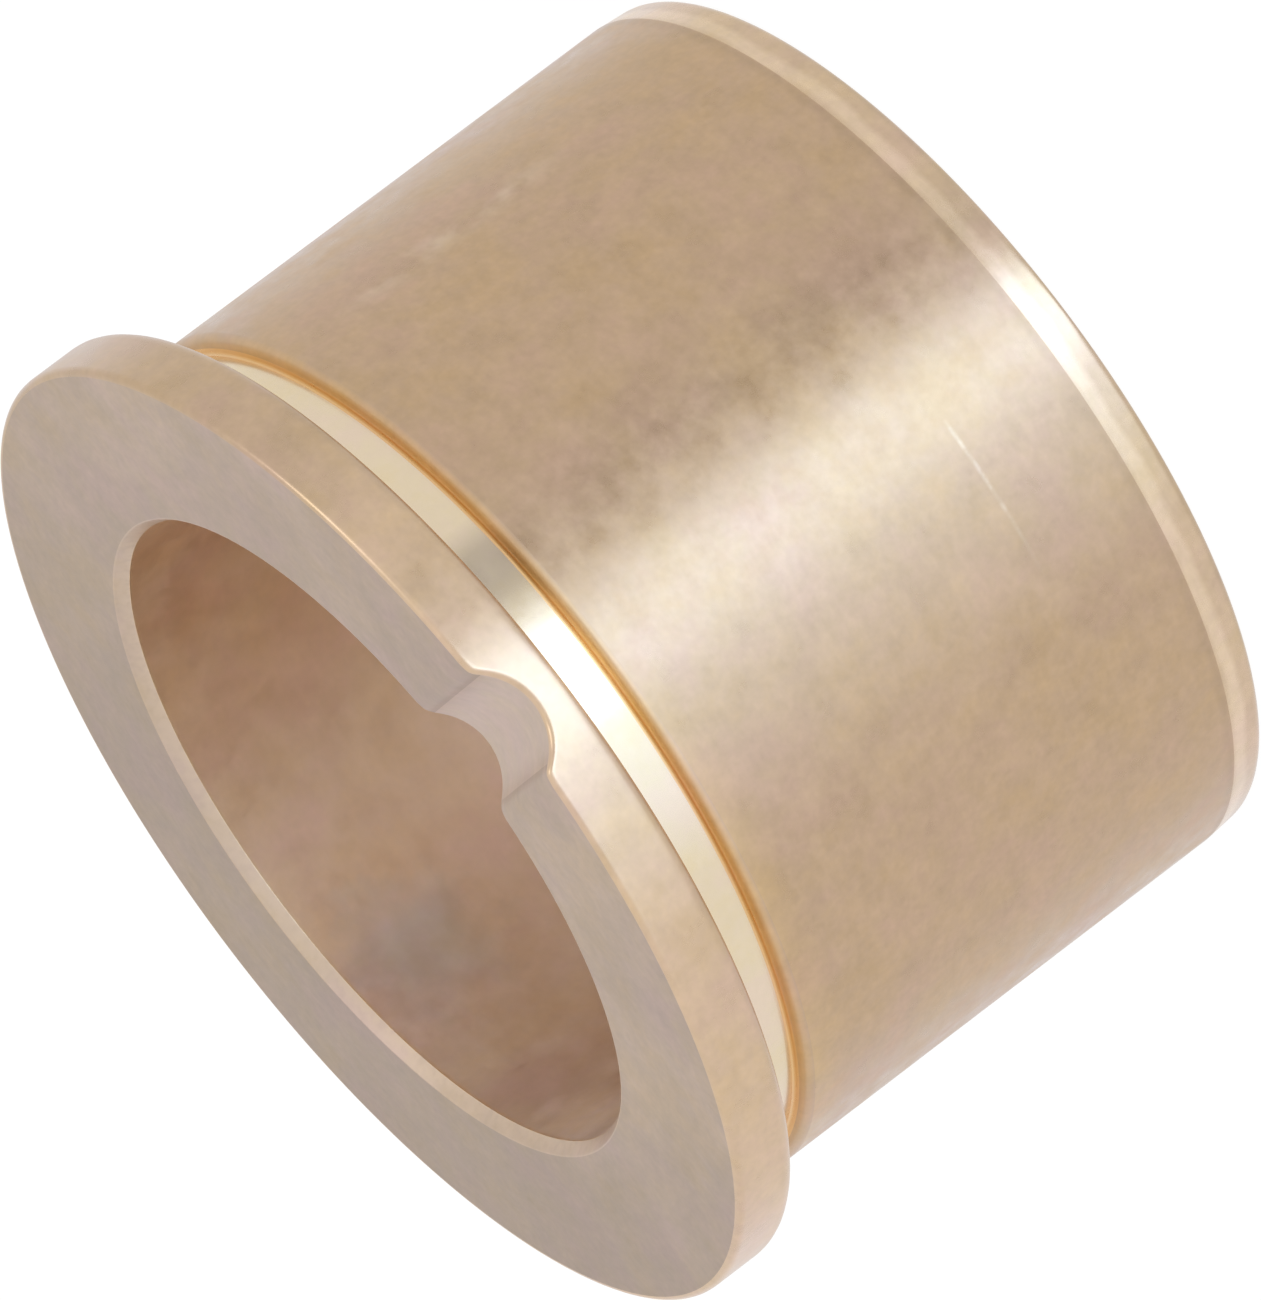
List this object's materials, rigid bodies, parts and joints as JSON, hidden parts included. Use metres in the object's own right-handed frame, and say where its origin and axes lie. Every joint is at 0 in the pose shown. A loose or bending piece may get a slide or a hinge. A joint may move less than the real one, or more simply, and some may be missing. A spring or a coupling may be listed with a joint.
{
  "type": "flanged sleeve bushing",
  "caption": "Plain bronze bearing sleeve with a thin thrust flange, an undercut behind it, a lead-in taper at the far end and an oil notch across the thrust face.",
  "frame": {"origin": "on the bore axis, in the plane of the flange's seating face", "axes": "+Z along the bore axis towards the thrust face, -Y through the oil notch"},
  "size_m": [0.03, 0.03, 0.0198],
  "materials": {
    "bearing_bronze": "turned and ground, satin, with a polished undercut"
  },
  "bodies": {
    "root": {"flanged_bushing": "bearing_bronze"}
  },
  "joints": []
}
